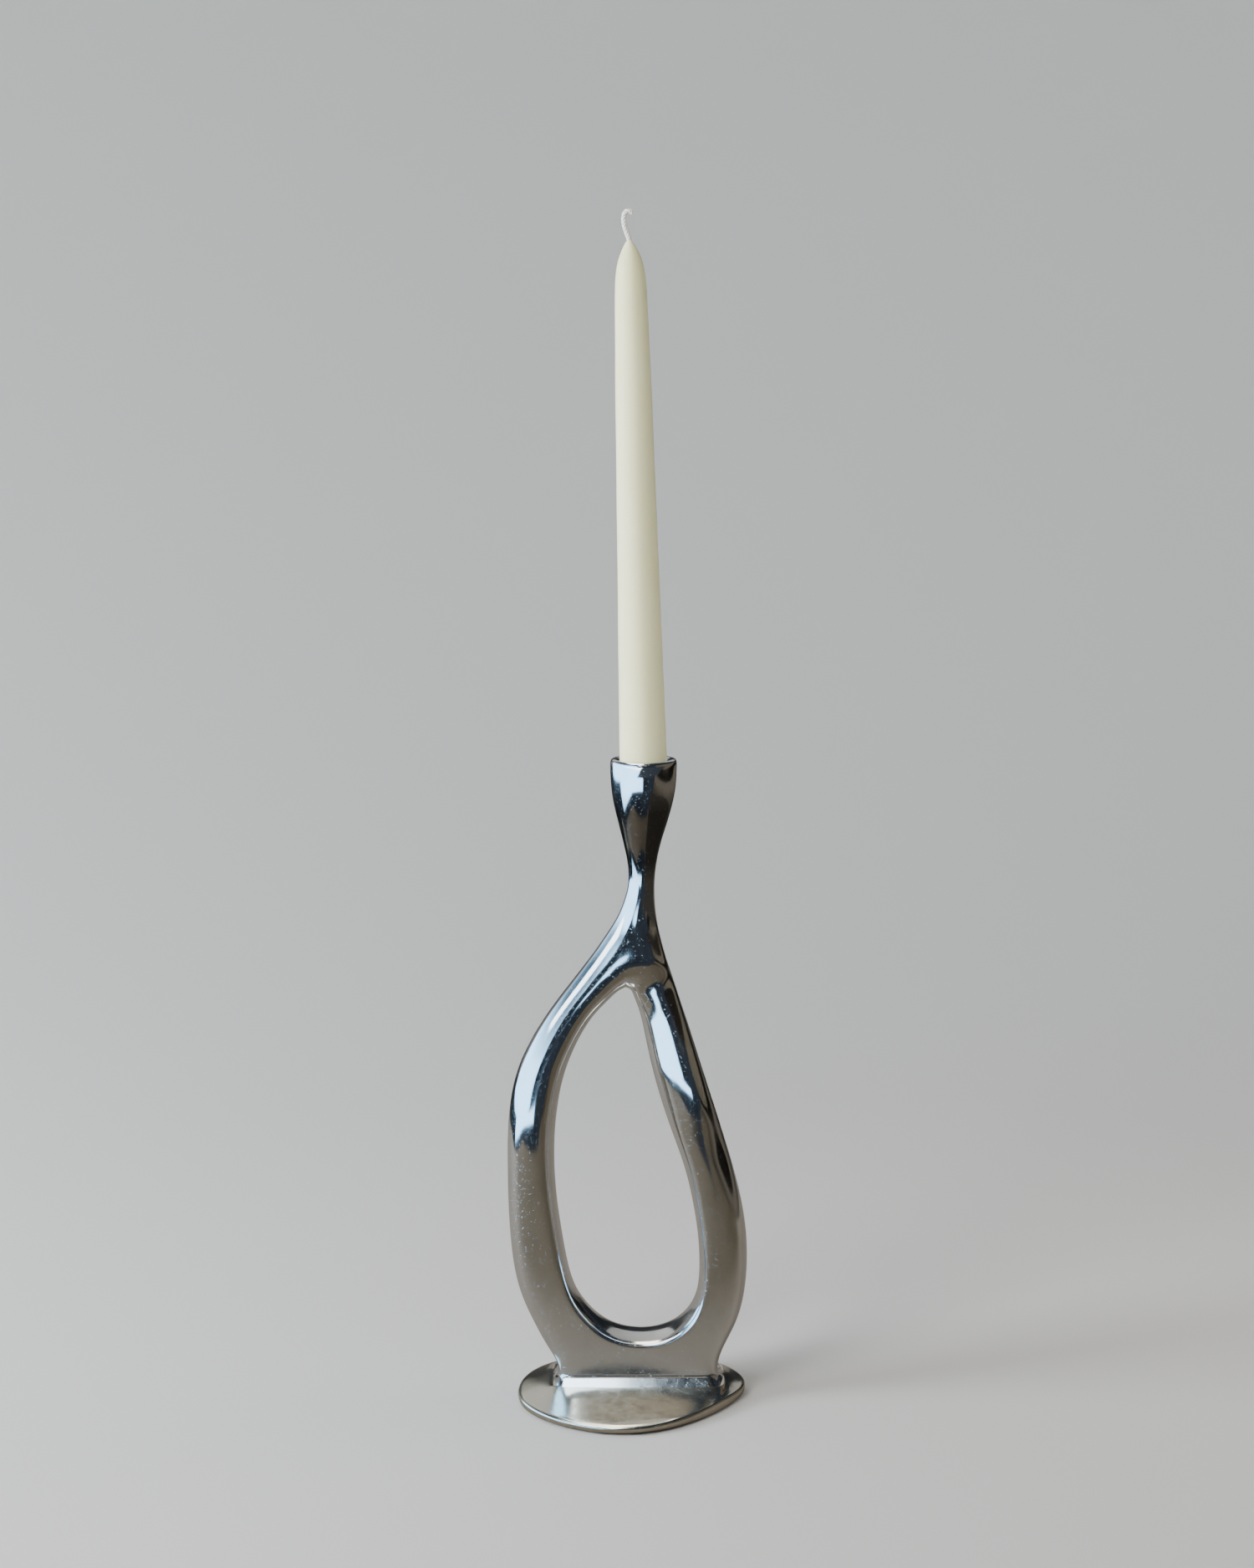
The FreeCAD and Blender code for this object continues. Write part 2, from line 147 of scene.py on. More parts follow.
def run_length(points):
    """Length along a line of points, from its start up to each of them."""
    return np.concatenate([[0], np.cumsum(np.linalg.norm(np.diff(points, axis=0), axis=1))])


def along(points, shares=None, count=None):
    """Points on the smooth curve through the given ones, at shares of its length."""
    p = np.asarray(points, float)
    t = run_length(p)
    fine_t = np.linspace(0, t[-1], FINE_COUNT)
    length = run_length(spline(t, p, fine_t))
    if shares is None:
        shares = np.linspace(0, 1, count)
    where = np.interp(np.asarray(shares) * length[-1], length, fine_t)
    return spline(t, p, where)


CHUNK = 200               # pieces of a line that are measured at once


def distance_to(line, points):
    """Distance from each point to a finely divided line."""
    starts, ends = line[:-1], line[1:]
    run = ends - starts
    square = (run ** 2).sum(1)
    best = np.full(len(points), 1e9)
    for first in range(0, len(starts), CHUNK):
        s, r, q = (array[first:first + CHUNK] for array in (starts, run, square))
        gap = points[:, None, :] - s[None]
        share = np.clip((gap * r[None]).sum(2) / q[None], 0, 1)
        near = gap - share[:, :, None] * r[None]
        best = np.minimum(best, np.sqrt((near ** 2).sum(2)).min(1))
    return best


# ---- loop casting --------------------------------------------------------------------------------
OUTLINE_COUNT = 1200      # points along each finely divided outline
COLUMNS = 40              # mesh columns across one side of the loop
ROW_STEP = 1.3            # height of one mesh row, about
# Lengths of the two branches, of the seat and of the stem, about: they set the count of rows.
BRANCH_LENGTH, SEAT_LENGTH, STEM_LENGTH = 200.0, 60.0, 105.0
LEFT_START = (-26.3, 213.9)              # where the rows of the stem start on the outline
RIGHT_START = (12.6, 209.0)
SEAT_FROM, SEAT_TO = (-17.0, 35.2), (13.0, 34.4)      # ends of the opening's floor
# The middles of the stem's rows rise from the opening's apex by this much, slowly at first, and
# move over to the middle of the outline within this share of the rows.
APEX_RISE = (0.0, 42.0)
APEX_POWER = 1.6
APEX_SHARE = 0.34
DOME_SHARE = 0.2          # the spacing of the stem's columns changes within this share of the rows
ROUND_FROM, ROUND_TO = 226.0, 252.0      # the section turns into a circle between these heights


def nearest_share(curve, point):
    """Where on a finely divided curve the point lies, as a share of its length."""
    length = run_length(curve)
    k = np.linalg.norm(curve - np.asarray(point), axis=1).argmin()
    return length[k] / length[-1]


class Sheet:
    """Gathers front and back vertices over the outline, which share the vertices on its edge."""

    def __init__(self):
        self.points = []
        self.edge = []
        self.faces = []

    def add(self, point, on_edge=False):
        """Adds a vertex and gives its number."""
        self.points.append(point)
        self.edge.append(on_edge)
        return len(self.points) - 1

    def quads(self, rows):
        """Faces between neighbouring rows, which may share vertices at their ends."""
        for low, high in zip(rows, rows[1:]):
            for a, b, c, d in zip(low, low[1:], high[1:], high):
                if len({a, b, c, d}) >= 3:
                    self.faces.append(list(dict.fromkeys((a, b, c, d))))


def smoothstep(low, high, value):
    """0 up to low, 1 from high on, and a curve between whose bend has no jump either."""
    share = np.clip((np.asarray(value, float) - low) / (high - low), 0, 1)
    return share ** 3 * (share * (share * 6 - 15) + 10)


def loop_grid():
    """The outline of the casting as rows of points, with the slit of the opening left out."""
    left = along(LEFT, count=OUTLINE_COUNT)
    right = along(RIGHT, count=OUTLINE_COUNT)
    opening = along(OPENING, count=OUTLINE_COUNT)
    left_at = nearest_share(left, LEFT_START)
    right_at = nearest_share(right, RIGHT_START)
    in_left = nearest_share(opening, SEAT_FROM)
    in_right = nearest_share(opening, SEAT_TO)
    sheet = Sheet()
    across = (1 - np.cos(np.linspace(0, pi, COLUMNS + 1))) / 2

    def strip(outer, inner, first=None, edge=True):
        """Rows from the outer curve to the inner one, the first of them given or made."""
        rows = []
        for k, (o, i) in enumerate(zip(outer, inner)):
            if k == 0 and first is not None:
                rows.append(first)
                continue
            row = []
            for j, share in enumerate(across):
                on_edge = j == COLUMNS or (j == 0 and edge)
                row.append(sheet.add(o + (i - o) * share, on_edge))
            rows.append(row)
        return rows

    apex = sheet.add(np.array(APEX), True)
    count = int(BRANCH_LENGTH / ROW_STEP)
    outer = along(LEFT, shares=np.linspace(left_at, 0, count))
    inner = along(OPENING, shares=np.linspace(0, in_left, count))
    down = strip(outer, inner)
    down[0][-1] = apex
    seat_count = int(SEAT_LENGTH / ROW_STEP)
    seat = np.linspace(left[0], right[0], seat_count)
    inner = along(OPENING, shares=np.linspace(in_left, in_right, seat_count))
    bar = strip(seat, inner, first=down[-1], edge=False)
    sheet.edge[bar[-1][0]] = True
    outer = along(RIGHT, shares=np.linspace(0, right_at, count))
    inner = along(OPENING, shares=np.linspace(in_right, 1, count))
    up = strip(outer, inner, first=bar[-1])
    up[-1][-1] = apex
    sheet.quads(down)
    sheet.quads(bar)
    sheet.quads(up)

    stem_count = int(STEM_LENGTH / ROW_STEP)
    steps = np.linspace(0, 1, stem_count)
    left_line = along(LEFT, shares=left_at + (1 - left_at) * steps)
    right_line = along(RIGHT, shares=right_at + (1 - right_at) * steps)
    middle_line = (left_line + right_line) / 2
    lift = smoothstep(0, APEX_SHARE, steps)[:, None]
    rise = steps[:, None]
    start = np.array(APEX) + np.array(APEX_RISE) * rise ** APEX_POWER
    middle_line = start * (1 - lift) + middle_line * lift
    dome = 1 - np.cos(np.linspace(0, pi / 2, COLUMNS + 1))
    rows = [down[0] + up[-1][-2::-1]]
    for k in range(1, stem_count):
        blend = smoothstep(0, DOME_SHARE, steps[k])
        share = across * (1 - blend) + dome * blend
        l, m, r = left_line[k], middle_line[k], right_line[k]
        half = [l + (m - l) * s for s in share] + [r + (m - r) * s for s in share[-2::-1]]
        rows.append([sheet.add(p, j in (0, 2 * COLUMNS)) for j, p in enumerate(half)])
    sheet.quads(rows)
    return sheet, bar, rows, (left, right, opening)


def half_thickness(points, outlines):
    """How far the casting's front stands out from its middle plane at each point of the outline."""
    left, right, opening = outlines
    z = points[:, 1]
    heights, sizes = zip(*THICKNESS)
    below = FLARE_TOP - z
    flare = (below + np.sqrt(below ** 2 + FLARE_SOFT ** 2)) / 2
    low, full, still, end = RIGHT_LIFT_Z
    on_right = smoothstep(low, full, z) * (1 - smoothstep(still, end, z))
    on_right = on_right * smoothstep(*RIGHT_LIFT_X, points[:, 0])
    size = spline(heights, sizes, z - RIGHT_LIFT * on_right)[:, 0] + flare
    turn = on_right * smoothstep(*TURNED_Z, z)
    outer_round = spline(*zip(*OUTER_ROUND), z)[:, 0] * (1 - TURNED_OUTER * turn)
    inner_round = spline(*zip(*INNER_ROUND), z)[:, 0] * (1 + TURNED_INNER * turn)
    to_left = distance_to(left, points)
    to_right = distance_to(right, points)
    to_inner = distance_to(opening, points)
    crisp = CRISP - CRISP_LOSS * smoothstep(*CRISP_Z, z)
    cover = 1 - np.exp(-(to_inner / inner_round) ** crisp)
    for gap in (to_left, to_right):
        cover = cover * (1 - np.exp(-gap / outer_round))
    formed = size * np.sqrt(cover)
    left_x = np.interp(z, left[:, 1], left[:, 0])
    right_x = np.interp(z, right[:, 1], right[:, 0])
    half_width = (right_x - left_x) / 2
    offset = (points[:, 0] - (left_x + right_x) / 2) / half_width
    turned = half_width * np.sqrt(np.clip(1 - offset ** 2, 0, 1))
    blend = smoothstep(ROUND_FROM, ROUND_TO, z)
    return formed * (1 - blend) + turned * blend


def set_back(points, right):
    """How far behind the middle plane the casting lies at each point of the outline."""
    low, full, still, end = SET_BACK_Z
    x, z = points[:, 0], points[:, 1]
    on_right = smoothstep(*SET_BACK_X, x)
    rise = smoothstep(low, full, z) * (1 - smoothstep(still, end, z))
    inwards = np.interp(z, right[:, 1], right[:, 0]) - HALF_BRANCH - x
    twist = TWIST * inwards * smoothstep(*TWIST_Z[:2], z) * (1 - smoothstep(*TWIST_Z[2:], z))
    return (SET_BACK * rise + twist) * on_right


def make_mesh(name, vertices, faces, sharp_angle):
    """A smooth shaded piece with outward faces, and sharp edges from that angle up."""
    mesh = bpy.data.meshes.new(name)
    mesh.from_pydata([tuple(v) for v in vertices], [], faces)
    mesh.validate()
    bm = bmesh.new()
    bm.from_mesh(mesh)
    bmesh.ops.recalc_face_normals(bm, faces=bm.faces)
    for face in bm.faces:
        face.smooth = True
    for edge in bm.edges:
        edge.smooth = len(edge.link_faces) != 2 or edge.calc_face_angle() < sharp_angle
    bm.to_mesh(mesh)
    bm.free()
    piece = bpy.data.objects.new(name, mesh)
    bpy.context.scene.collection.objects.link(piece)
    return piece


def loop_casting():
    """Front and back over the outline, the flat seat, the rounded rim and the socket."""
    sheet, bar, stem_rows, outlines = loop_grid()
    flat = np.array(sheet.points)
    depth = half_thickness(flat, outlines)
    edge = np.array(sheet.edge)
    depth[edge] = 0
    middle = set_back(flat, outlines[1])
    vertices = [(x, m - d, z) for (x, z), d, m in zip(flat, depth, middle)]
    back = {}
    for i, on_edge in enumerate(edge):
        if on_edge:
            back[i] = i
        else:
            back[i] = len(vertices)
            vertices.append((flat[i][0], middle[i] + depth[i], flat[i][1]))
    faces = [list(f) for f in sheet.faces]
    faces += [[back[i] for i in reversed(f)] for f in sheet.faces]
    seat_row = [row[0] for row in bar]
    for a, b in zip(seat_row, seat_row[1:]):
        faces.append(list(dict.fromkeys((a, b, back[b], back[a]))))
    top = stem_rows[-1]
    ring = top + [back[i] for i in top[-2:0:-1]]
    angles = [float(np.arctan2(vertices[i][1], vertices[i][0])) for i in ring]
    for radius, z in mouth_profile():
        previous = ring
        ring = []
        for angle in angles:
            ring.append(len(vertices))
            vertices.append((radius * cos(angle), radius * sin(angle), z))
        for a, b, c, d in zip(previous, previous[1:] + previous[:1], ring[1:] + ring[:1], ring):
            faces.append([a, b, c, d])
    floor_middle = len(vertices)
    vertices.append((0, 0, RIM_Z - SOCKET_DEPTH))
    for a, b in zip(ring, ring[1:] + ring[:1]):
        faces.append([a, b, floor_middle])
    places = [Vector(v) * MM for v in vertices]
    return make_mesh("loop_casting_skin", places, faces, sharp_angle=radians(40))


def mouth_profile():
    """Radius and height from the outside of the rim over the lip and down the socket."""
    return [
        (15.47, 308.4), (15.35, 309.0), (15.1, 309.45), (14.75, 309.75), (14.3, 309.92),
        (13.8, 309.98), (13.0, 310.0), (12.3, 309.97), (11.85, 309.82), (11.55, 309.5),
        (SOCKET_R, 309.0), (SOCKET_R, 300.0), (SOCKET_R, RIM_Z - SOCKET_DEPTH),
        (6.0, RIM_Z - SOCKET_DEPTH),
    ]


body = loop_casting()
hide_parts("loop_casting")
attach(body, "stand")


# ---- foot casting --------------------------------------------------------------------------------
FOOT_PLAN = [
    (49.4, 4.0), (45.6, 17.5), (36.0, 28.8), (19.5, 35.8), (-2.0, 38.4), (-24.0, 37.4),
    (-42.0, 31.0), (-54.5, 17.5), (-60.0, -3.0), (-57.0, -22.5), (-46.5, -37.8), (-30.0, -49.2),
    (-9.0, -53.8), (9.5, -48.8), (25.2, -37.0), (39.5, -20.0),
]
# Height, and how far out between the joint's outline (0) and the plan (1).
FOOT_PROFILE = [
    (FELT_T, 0.950), (1.25, 0.970), (1.7, 0.984), (2.5, 0.996), (3.3, 1.0), (4.0, 0.994),
    (4.55, 0.972), (4.95, 0.935), (5.25, 0.88), (5.55, 0.79), (6.0, 0.66), (6.6, 0.50),
    (7.4, 0.33), (8.25, 0.18), (9.0, 0.07), (SEAT_Z, 0.0),
]
JOINT_X = -2.2            # middle of the joint's outline
JOINT_HALF = (41.0, 17.2)
JOINT_POWER = 8.0
FOOT_AROUND = 192         # points round the foot and the felt
FOOT_ROWS = 60
PROFILE_REACH = 36.0      # the joint lies this far inside the plan, about, at the front


def joint_outline():
    """The joint's outline seen from above: nearly a rectangle."""
    angles = np.arange(FOOT_AROUND) * tau / FOOT_AROUND
    c, s = np.cos(angles), np.sin(angles)
    reach = (np.abs(c) ** JOINT_POWER + np.abs(s) ** JOINT_POWER) ** (-1 / JOINT_POWER)
    return np.stack([JOINT_X + JOINT_HALF[0] * reach * c, JOINT_HALF[1] * reach * s], axis=1)


def foot_outline():
    """The foot's plan, point by point in the same directions as the joint's outline."""
    wrap = 3
    closed = FOOT_PLAN[-wrap:] + FOOT_PLAN + FOOT_PLAN[:wrap + 1]
    p = np.array(closed, float)
    t = run_length(p)
    curve = spline(t, p, np.linspace(t[wrap], t[-wrap - 1], FINE_COUNT))
    size = curve.max(0) - curve.min(0)
    facing = np.unwrap(np.arctan2(curve[:, 1] / size[1], (curve[:, 0] - JOINT_X) / size[0]))
    wanted = np.arange(FOOT_AROUND) * tau / FOOT_AROUND
    wanted = (wanted - facing[0]) % tau + facing[0]
    return np.stack([np.interp(wanted, facing, curve[:, i]) for i in (0, 1)], axis=1)


def rows_mesh(name, rows, sharp_angle):
    """A closed skin over rings of equal length, with flat ends."""
    count = len(rows[0])
    vertices = [v for row in rows for v in row]
    faces = []
    for r in range(len(rows) - 1):
        for k in range(count):
            n = (k + 1) % count
            faces.append([r * count + k, r * count + n, (r + 1) * count + n, (r + 1) * count + k])
    faces.append(list(range(count))[::-1])
    faces.append([(len(rows) - 1) * count + k for k in range(count)])
    return make_mesh(name, [Vector(v) * MM for v in vertices], faces, sharp_angle)


def foot_casting():
    """The domed plate, ring by ring from the felt up to the joint."""
    plan = foot_outline()
    joint = joint_outline()
    section = [(z, share * PROFILE_REACH) for z, share in FOOT_PROFILE]
    rows = []
    for z, out in along(section, count=FOOT_ROWS):
        ring = joint + (plan - joint) * (out / PROFILE_REACH)
        rows.append([(x, y, z) for x, y in ring])
    return rows_mesh("foot_casting_skin", rows, sharp_angle=radians(35))


foot = foot_casting()
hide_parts("foot_casting")
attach(foot, "stand")


# ---- felt ----------------------------------------------------------------------------------------
FELT_SHARE = 0.93         # the felt's outline as a share of the foot's
# Section of its edge: how far in from the outline, and at which height.
FELT_EDGE = [(0.25, 0.0), (0.06, 0.12), (0.0, 0.4), (0.0, 0.8), (0.05, 1.1), (0.2, FELT_T)]
FELT_WEAR = 0.06          # the edge wanders in by up to twice this
FELT_RIPPLES = (23, 7, 41)               # waves round the edge that make it up


def felt_sheet():
    """The felt under the foot: one sheet with a softly worn edge."""
    centre = np.array([JOINT_X, 0.0])
    plan = centre + (foot_outline() - centre) * FELT_SHARE
    often, seldom, fine = FELT_RIPPLES
    rows = []
    for inset, z in FELT_EDGE:
        ring = []
        for k, (x, y) in enumerate(plan):
            a = k * tau / FOOT_AROUND
            ripple = sin(often * a + 2 * sin(seldom * a)) * sin(fine * a)
            worn = inset + FELT_WEAR * (1 + ripple)
            reach = np.hypot(x - JOINT_X, y)
            ring.append((JOINT_X + (x - JOINT_X) * (1 - worn / reach), y * (1 - worn / reach), z))
        rows.append(ring)
    return rows_mesh("felt_sheet", rows, sharp_angle=radians(50)), plan


felt, felt_plan = felt_sheet()
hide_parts("felt_pad")
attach(felt, "stand")


# ---- candle --------------------------------------------------------------------------------------
CANDLE_LENGTH = 252.0     # wax only
CANDLE_R = 11.0
CANDLE_LEAN = radians(1.55)
CANDLE_SHIFT = -0.15      # where its axis crosses the plane of the rim, along X
CANDLE_GAP = 0.35         # between the butt and the socket's floor
# Share of the wax's length above the butt, and radius there.
WAX_PROFILE = [
    (0.0635, CANDLE_R), (0.14, 10.72), (0.215, 10.4), (0.37, 9.8), (0.52, 9.15), (0.68, 8.5),
    (0.83, 7.8), (0.905, 7.35), (0.944, 6.6), (0.972, 5.0), (0.990, 3.0), (1.0, 1.6),
]
WAX_ROWS = 220
WAX_AROUND = 72
# The wick from 2 mm inside the wax up, measured from the wax's top: offset along X and height.
WICK_TIP = [
    (0.0, -2.0), (0.0, 0.0), (-0.7, 2.6), (-1.7, 5.6), (-2.3, 8.8), (-2.1, 11.6), (-0.9, 13.3),
    (0.6, 13.2), (1.2, 12.0),
]
WICK_ROWS = 90
STRANDS = 4
STRAND_AROUND = 10
STRAND_TURNS = 3.0        # turns of each strand round the wick's middle line
STRAND_OUT = 0.62         # distance of a strand's middle from that line
STRAND_R = 0.60


def leaned(point):
    """A place measured on the upright candle, from its butt, moved to where it stands."""
    butt_z = RIM_Z - SOCKET_DEPTH + CANDLE_GAP
    foot_x = CANDLE_SHIFT + (RIM_Z - butt_z) * np.tan(CANDLE_LEAN)
    turned = Matrix.Rotation(-CANDLE_LEAN, 3, "Y") @ Vector(point)
    return turned + Vector((foot_x, 0, butt_z))


def wax():
    """The candle's wax, with the slight unevenness of a dipped one above the rim."""
    taper = [(share * CANDLE_LENGTH, r) for share, r in WAX_PROFILE]
    profile = [(0.0, CANDLE_R - 0.6), (0.25, CANDLE_R - 0.25), (0.6, CANDLE_R), (8.0, CANDLE_R)]
    profile.extend(along(taper, count=WAX_ROWS))
    rows = []
    for z, r in profile:
        ring = []
        for k in range(WAX_AROUND):
            a = k * tau / WAX_AROUND
            dips = 0.05 * sin(z * 0.11 + 2 * sin(a)) + 0.04 * sin(2 * a + z * 0.045)
            dips *= smoothstep(18, 40, z) * smoothstep(CANDLE_LENGTH, CANDLE_LENGTH - 12, z)
            ring.append(leaned(((r + dips) * cos(a), (r + dips) * sin(a), z)))
        rows.append(ring)
    return rows_mesh("candle_wax_body", rows, sharp_angle=radians(50))


def normals(path):
    """Two normals at each point of a path that stays in a plane facing Y."""
    tangent = np.gradient(path, axis=0)
    tangent /= np.linalg.norm(tangent, axis=1)[:, None]
    side = np.tile([0.0, 1.0, 0.0], (len(path), 1))
    return np.cross(side, tangent), side


def wick():
    """Four strands twisted round each other, closing in towards the wick's end."""
    flat = along(WICK_TIP, count=WICK_ROWS)
    path = np.stack([flat[:, 0], np.zeros(len(flat)), flat[:, 1] + CANDLE_LENGTH], axis=1)
    across, side = normals(path)
    around = STRAND_AROUND
    vertices, faces = [], []
    for strand in range(STRANDS):
        first = len(vertices)
        for k, share in enumerate(np.linspace(0, 1, WICK_ROWS)):
            swing = strand * tau / STRANDS + share * tau * STRAND_TURNS
            out = STRAND_OUT - 0.12 * smoothstep(0.93, 1.0, share)
            middle = path[k] + out * (across[k] * cos(swing) + side[k] * sin(swing))
            thick = STRAND_R * (1 - 0.40 * smoothstep(0.95, 1.0, share))
            for j in range(around):
                a = j * tau / around
                vertices.append(middle + thick * (across[k] * cos(a) + side[k] * sin(a)))
        for low in range(first, first + (WICK_ROWS - 1) * around, around):
            high = low + around
            for j in range(around):
                n = (j + 1) % around
                faces.append([low + j, low + n, high + n, high + j])
        last = first + (WICK_ROWS - 1) * around
        faces.append([first + j for j in range(around)][::-1])
        faces.append([last + j for j in range(around)])
    places = [leaned(v) * MM for v in vertices]
    return make_mesh("candle_wick_braid", places, faces, sharp_angle=radians(60))


candle = wax()
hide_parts("candle_wax")
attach(candle, "candle")
braid = wick()
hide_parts("candle_wick")
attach(braid, "candle")


# ---- materials -----------------------------------------------------------------------------------
def new_material(name):
    """A material, its node tree and its shader."""
    material = bpy.data.materials.new(name)
    material.use_nodes = True
    tree = material.node_tree
    shader = tree.nodes["Principled BSDF"]
    return material, tree, shader


def node(tree, kind, **settings):
    """A new node with some of its inputs or settings given."""
    made = tree.nodes.new(kind)
    for key, value in settings.items():
        if key in made.inputs:
            made.inputs[key].default_value = value
        else:
            setattr(made, key, value)
    return made


def stretched_noise(tree, stretch, scale, detail, roughness):
    """Noise in the object's own frame, drawn out by different amounts along X, Y and Z."""
    place = node(tree, "ShaderNodeTexCoord")
    mapping = node(tree, "ShaderNodeMapping")
    mapping.inputs["Scale"].default_value = stretch
    noise = node(tree, "ShaderNodeTexNoise", Scale=scale, Detail=detail, Roughness=roughness)
    tree.links.new(place.outputs["Object"], mapping.inputs["Vector"])
    tree.links.new(mapping.outputs["Vector"], noise.inputs["Vector"])
    return noise


def axis(tree, letter):
    """The place along one axis of the object's own frame, in metres."""
    place = node(tree, "ShaderNodeTexCoord")
    split = node(tree, "ShaderNodeSeparateXYZ")
    tree.links.new(place.outputs["Object"], split.inputs[0])
    return split.outputs[letter]


def mixed(tree, share, first, second):
    """A colour between two others, each either three numbers or the output of another node."""
    made = node(tree, "ShaderNodeMix", data_type="RGBA")
    tree.links.new(share, made.inputs[0])
    for socket, colour in ((made.inputs[6], first), (made.inputs[7], second)):
        if isinstance(colour, tuple):
            socket.default_value = (*colour, 1)
        else:
            tree.links.new(colour, socket)
    return made.outputs[2]


def combined(tree, operation, first, second):
    """Two outputs added or multiplied."""
    made = node(tree, "ShaderNodeMath", operation=operation)
    tree.links.new(first, made.inputs[0])
    tree.links.new(second, made.inputs[1])
    return made.outputs[0]


def ramp(tree, source, low, high, low_value, high_value):
    """The source mapped from low..high to low_value..high_value, and held beyond."""
    made = node(tree, "ShaderNodeMapRange")
    made.inputs["From Min"].default_value = low
    made.inputs["From Max"].default_value = high
    made.inputs["To Min"].default_value = low_value
    made.inputs["To Max"].default_value = high_value
    tree.links.new(source, made.inputs["Value"])
    return made.outputs["Result"]


def bump(tree, height, strength, distance, under=None):
    """A normal bumped by a height, on top of an earlier one."""
    made = node(tree, "ShaderNodeBump", Strength=strength, Distance=distance)
    tree.links.new(height, made.inputs["Height"])
    if under is not None:
        tree.links.new(under, made.inputs["Normal"])
    return made.outputs["Normal"]


# Painted shade: the metal's colour is made darker and browner round the neck and the cup's lower
# flank.
PAINTED_NECK_SHADE = (0.10, 0.09, 0.075)
PAINTED_NECK_SHADE_SHARE = 0.62
PAINTED_NECK_SHADE_FROM = (0.252, 0.262)      # heights in metres between which the painted shade comes in
PAINTED_NECK_SHADE_TO = (0.286, 0.296)        # and between which it goes
# Below the first height, in metres, the polish is rougher than above the second, by this factor.
ROUGHER_Z = (0.04, 0.11)
ROUGHER = 1.5


def with_painted_neck_shade(tree, colour):
    """The colour made darker and browner round the neck and the lower flank of the cup: painted
    shade.
    """
    z = axis(tree, "Z")
    starts = ramp(tree, z, *PAINTED_NECK_SHADE_FROM, 0.0, PAINTED_NECK_SHADE_SHARE)
    ends = ramp(tree, z, *PAINTED_NECK_SHADE_TO, 1.0, 0.0)
    return mixed(tree, combined(tree, "MULTIPLY", starts, ends), colour, PAINTED_NECK_SHADE)


def polished_metal(name, tint, roughness):
    """Hand-polished metal: upright polishing lines, a faint swell, pits, cloudy roughness, and
    painted shade round the neck.
    """
    material, tree, shader = new_material(name)
    shader.inputs["Metallic"].default_value = 1.0
    lines = stretched_noise(tree, (1.0, 1.0, 0.03), 2600.0, detail=3.0, roughness=0.6)
    swell = stretched_noise(tree, (1.0, 1.0, 0.6), 70.0, detail=1.0, roughness=0.4)
    clouds = stretched_noise(tree, (1.0, 1.0, 0.5), 160.0, detail=3.0, roughness=0.6)
    pits = stretched_noise(tree, (1.0, 1.0, 1.0), 1500.0, detail=1.0, roughness=0.5)
    normal = bump(tree, swell.outputs["Fac"], 0.03, 0.0006)
    normal = bump(tree, lines.outputs["Fac"], 0.20, 0.00002, normal)
    pit = ramp(tree, pits.outputs["Fac"], 0.70, 0.76, 1.0, 0.0)
    normal = bump(tree, pit, 0.5, 0.0001, normal)
    tree.links.new(normal, shader.inputs["Normal"])
    cloudy = ramp(tree, clouds.outputs["Fac"], 0.35, 0.7, 1.0, 1.7)
    by_height = ramp(tree, axis(tree, "Z"), *ROUGHER_Z, roughness * ROUGHER, roughness)
    rough = combined(tree, "MULTIPLY", cloudy, by_height)
    tree.links.new(rough, shader.inputs["Roughness"])
    duller = (tint[0] * 0.82, tint[1] * 0.80, tint[2] * 0.77)
    share = ramp(tree, clouds.outputs["Fac"], 0.5, 0.8, 0.0, 0.5)
    colour = mixed(tree, share, tint, duller)
    tree.links.new(with_painted_neck_shade(tree, colour), shader.inputs["Base Color"])
    return material


def candle_wax_material():
    """Ivory wax, satin and slightly translucent."""
    material, tree, shader = new_material("dipped_wax")
    soft = stretched_noise(tree, (1.0, 1.0, 0.25), 120.0, detail=3.0, roughness=0.5)
    colour = mixed(tree, soft.outputs["Fac"], (0.97, 0.95, 0.62), (0.95, 0.92, 0.52))
    tree.links.new(colour, shader.inputs["Base Color"])
    shader.inputs["Subsurface Weight"].default_value = 0.35
    shader.inputs["Subsurface Radius"].default_value = (0.004, 0.0035, 0.002)
    shader.inputs["Subsurface Scale"].default_value = 1.0
    satin = ramp(tree, soft.outputs["Fac"], 0.3, 0.7, 0.32, 0.45)
    tree.links.new(satin, shader.inputs["Roughness"])
    fine = stretched_noise(tree, (1.0, 1.0, 0.4), 500.0, detail=2.0, roughness=0.5)
    normal = bump(tree, soft.outputs["Fac"], 0.25, 0.0003)
    normal = bump(tree, fine.outputs["Fac"], 0.15, 0.00004, normal)
    tree.links.new(normal, shader.inputs["Normal"])
    return material


def cotton():
    """The wick's cotton, with fibres along it."""
    material, tree, shader = new_material("braided_cotton")
    fibre = stretched_noise(tree, (1.0, 1.0, 0.3), 6000.0, detail=2.0, roughness=0.5)
    colour = mixed(tree, fibre.outputs["Fac"], (0.80, 0.78, 0.70), (0.96, 0.95, 0.90))
    tree.links.new(colour, shader.inputs["Base Color"])
    shader.inputs["Roughness"].default_value = 0.85
    normal = bump(tree, fibre.outputs["Fac"], 0.6, 0.0001)
    tree.links.new(normal, shader.inputs["Normal"])
    return material


def felt_material():
    """Dark pressed felt."""
    material, tree, shader = new_material("pressed_felt")
    fibre = stretched_noise(tree, (1.0, 1.0, 1.0), 2500.0, detail=4.0, roughness=0.7)
    colour = mixed(tree, fibre.outputs["Fac"], (0.03, 0.03, 0.035), (0.10, 0.10, 0.11))
    tree.links.new(colour, shader.inputs["Base Color"])
    shader.inputs["Roughness"].default_value = 0.95
    shader.inputs["Sheen Weight"].default_value = 0.4
    tree.links.new(bump(tree, fibre.outputs["Fac"], 0.6, 0.0003), shader.inputs["Normal"])
    return material


